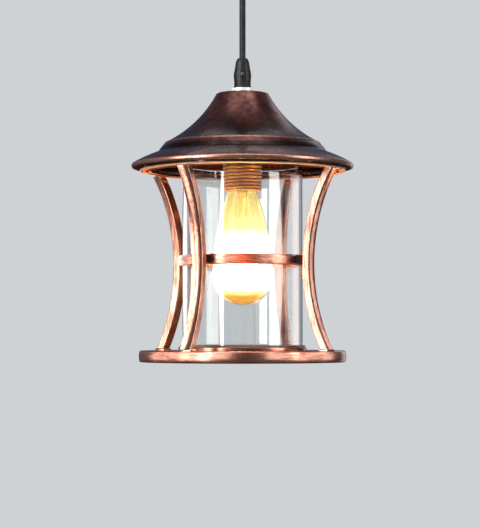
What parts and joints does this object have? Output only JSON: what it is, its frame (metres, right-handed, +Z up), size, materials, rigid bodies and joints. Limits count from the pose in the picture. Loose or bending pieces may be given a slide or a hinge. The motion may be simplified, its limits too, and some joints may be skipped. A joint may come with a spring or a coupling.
{
  "type": "hanging lantern",
  "caption": "Pendant lantern with a bell roof, waisted rib cage, clear glass cylinder and screw-in bulb, hung on a short cord from a ceiling rose.",
  "frame": {"origin": "centre of the mounting bracket's upper face, where it presses against the ceiling", "axes": "+Z up out of the ceiling face; -Y is the front from which the front left and front right ribs are seen"},
  "size_m": [0.2226, 0.2226, 0.425],
  "materials": {
    "aged_copper": "spun steel with a dark antique copper finish, rubbed brighter on its edges",
    "rib_copper": "brushed antique copper with a pink-brown tone and darker streaks",
    "holder_copper": "copper-coated lampholder shell",
    "pale_zinc": "pale plated zinc, satin",
    "plated_steel": "bright zinc-plated steel",
    "cap_brass": "pressed brass",
    "black_plastic": "moulded black nylon",
    "black_cord": "black flexible cord sheath",
    "ceramic": "glazed white insulator",
    "black_glass": "opaque black glass insulator",
    "clear_glass": "clear glass",
    "bulb_glass": "clear blown bulb glass",
    "gasket_rubber": "soft black seal",
    "filament_metal": "glowing filament",
    "brown_wire": "brown insulated lead",
    "blue_wire": "blue insulated lead"
  },
  "bodies": {
    "ceiling_rose": {"mounting_bracket": "plated_steel", "rose_cup": "aged_copper", "rose_cup_screw_left": "aged_copper", "rose_cup_screw_right": "aged_copper", "terminal_block": "ceramic", "terminal_screw_live": "cap_brass", "terminal_screw_neutral": "cap_brass", "rose_cord_grip": "black_plastic", "rose_cord_clamp_screw": "plated_steel", "rose_nipple": "plated_steel", "rose_grip_nut": "plated_steel", "rose_cord_tail": "black_cord"},
    "cord": {"cord": "black_cord"},
    "grip": {"cord_grip": "black_plastic", "cord_clamp_screw": "plated_steel"},
    "lantern": {"collar_nut": "pale_zinc", "threaded_nipple": "plated_steel", "roof_washer": "plated_steel", "roof_lock_nut": "plated_steel", "crossbar_upper_nut": "plated_steel", "crossbar_lower_nut": "plated_steel", "lantern_cord_tail": "black_cord", "roof_shell": "aged_copper", "gallery_ring": "rib_copper", "cage_crossbar": "rib_copper", "rib_front_left": "rib_copper", "rib_front_right": "rib_copper", "rib_back_right": "rib_copper", "rib_back_left": "rib_copper", "band_spacer_front_left": "aged_copper", "band_spacer_front_right": "aged_copper", "band_spacer_back_right": "aged_copper", "band_spacer_back_left": "aged_copper", "waist_band": "rib_copper", "bottom_ring": "rib_copper", "holder_cap": "holder_copper", "holder_skirt": "holder_copper", "holder_core": "ceramic", "contact_shell": "cap_brass", "centre_contact": "cap_brass", "holder_lead_live": "brown_wire", "holder_lead_neutral": "blue_wire"},
    "glass_tray": {"glass_tray": "rib_copper", "glass_gasket": "gasket_rubber", "glass_cylinder": "clear_glass", "tray_thumbscrew_1": "cap_brass", "tray_thumbscrew_2": "cap_brass", "tray_thumbscrew_3": "cap_brass"},
    "bulb": {"bulb_envelope": "bulb_glass", "bulb_cap": "cap_brass", "bulb_cap_insulator": "black_glass", "bulb_contact": "pale_zinc", "bulb_stem": "bulb_glass", "filament": "filament_metal"}
  },
  "joints": [
    {"name": "cord_swing", "type": "hinge", "parent": "ceiling_rose", "child": "cord", "pos_m": [0, 0, -0.0563], "axis": [0, 1, 0], "range_deg": [-15, 15]},
    {"name": "lantern_swing", "type": "hinge", "parent": "cord", "child": "grip", "pos_m": [0, 0, -0.1204], "axis": [1, 0, 0], "range_deg": [-15, 15]},
    {"name": "lantern_turn", "type": "hinge", "parent": "grip", "child": "lantern", "pos_m": [0, 0, -0.1504], "axis": [0, 0, 1], "range_deg": [-180, 180]},
    {"name": "tray_down", "type": "slide", "parent": "lantern", "child": "glass_tray", "axis": [0, 0, -1], "range_m": [0, 0.2]},
    {"name": "bulb_out", "type": "slide", "parent": "lantern", "child": "bulb", "axis": [0, 0, -1], "range_m": [0, 0.215]}
  ]
}
